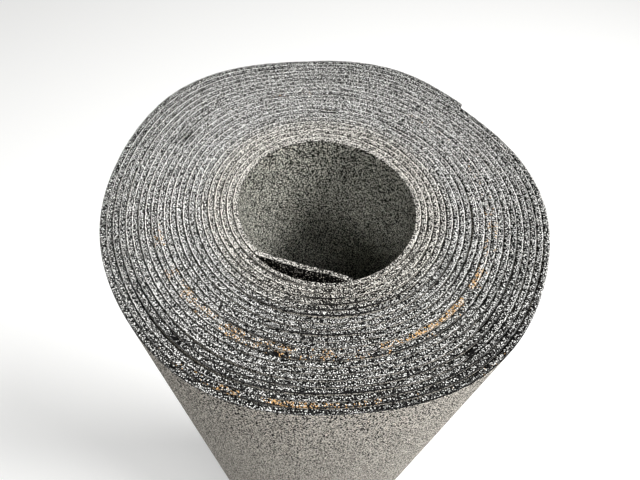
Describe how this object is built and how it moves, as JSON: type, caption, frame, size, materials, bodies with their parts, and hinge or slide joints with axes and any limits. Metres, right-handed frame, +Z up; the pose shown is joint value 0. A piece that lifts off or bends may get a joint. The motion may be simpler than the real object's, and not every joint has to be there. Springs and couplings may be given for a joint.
{
  "type": "roll of roofing felt",
  "caption": "Long sheet of granular roofing felt wound into an upright roll, with an open bore, a creased free inner flap and an outer end that steps down the side.",
  "frame": {"origin": "centre of the base, on the floor that the roll stands on, in the middle of its outline", "axes": "+Z up along the axis of the roll; the free inner flap is on the -Y side of the bore, and the outer end of the sheet is between +X and +Y"},
  "size_m": [0.2114, 0.2136, 1],
  "materials": {
    "mineral_felt": "matt, covered in fine mineral grains in black, grey and off-white"
  },
  "bodies": {
    "root": {"felt_roll": "mineral_felt"}
  },
  "joints": []
}
